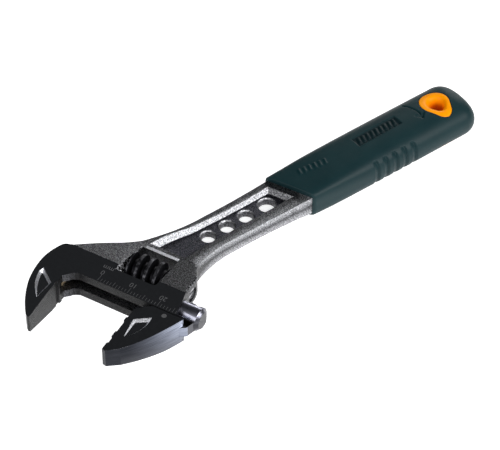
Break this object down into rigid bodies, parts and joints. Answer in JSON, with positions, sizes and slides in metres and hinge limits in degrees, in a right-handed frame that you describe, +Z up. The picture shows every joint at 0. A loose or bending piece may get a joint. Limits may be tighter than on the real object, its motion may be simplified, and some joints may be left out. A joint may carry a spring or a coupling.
{
  "type": "adjustable wrench",
  "caption": "Adjustable wrench with a slanted forged head, a movable jaw on a round rib set by a worm, a handle with lightening holes, a soft grip sleeve and a hang eyelet.",
  "frame": {"origin": "middle of the underside of the whole wrench's box, with the wrench lying flat and the jaw at its stored opening", "axes": "+X along the handle from the head to the grip's end, +Y towards the fixed jaw's side, +Z up through the thickness"},
  "size_m": [0.158, 0.0464, 0.0126],
  "materials": {
    "forged_steel": "polished head faces, blasted handle",
    "jaw_steel": "polished sides, brushed back",
    "worm_steel": "black oxide",
    "pin_steel": "turned",
    "spring_steel": "drawn wire",
    "grip_plastic": "soft matte, dark teal",
    "eyelet_plastic": "smooth orange-yellow"
  },
  "bodies": {
    "frame": {"forged_body": "forged_steel", "worm_pin": "pin_steel", "worm_spring": "spring_steel", "grip_sleeve": "grip_plastic", "hang_eyelet": "eyelet_plastic"},
    "jaw": {"movable_jaw": "jaw_steel"},
    "worm": {"adjusting_worm": "worm_steel"}
  },
  "joints": [
    {"name": "jaw_slide", "type": "slide", "parent": "frame", "child": "jaw", "axis": [0.3827, -0.9239, 0], "range_m": [-0.0243, 0.0008]},
    {"name": "worm_spin", "type": "hinge", "parent": "frame", "child": "worm", "pos_m": [-0.04088, 0.00138, 0.0063], "axis": [-0.3827, 0.9239, 0], "range_deg": [-2830, 100]}
  ],
  "couplings": [
    {"joint": "worm_spin", "follows": "jaw_slide", "rad_per_m": 2026.8}
  ]
}
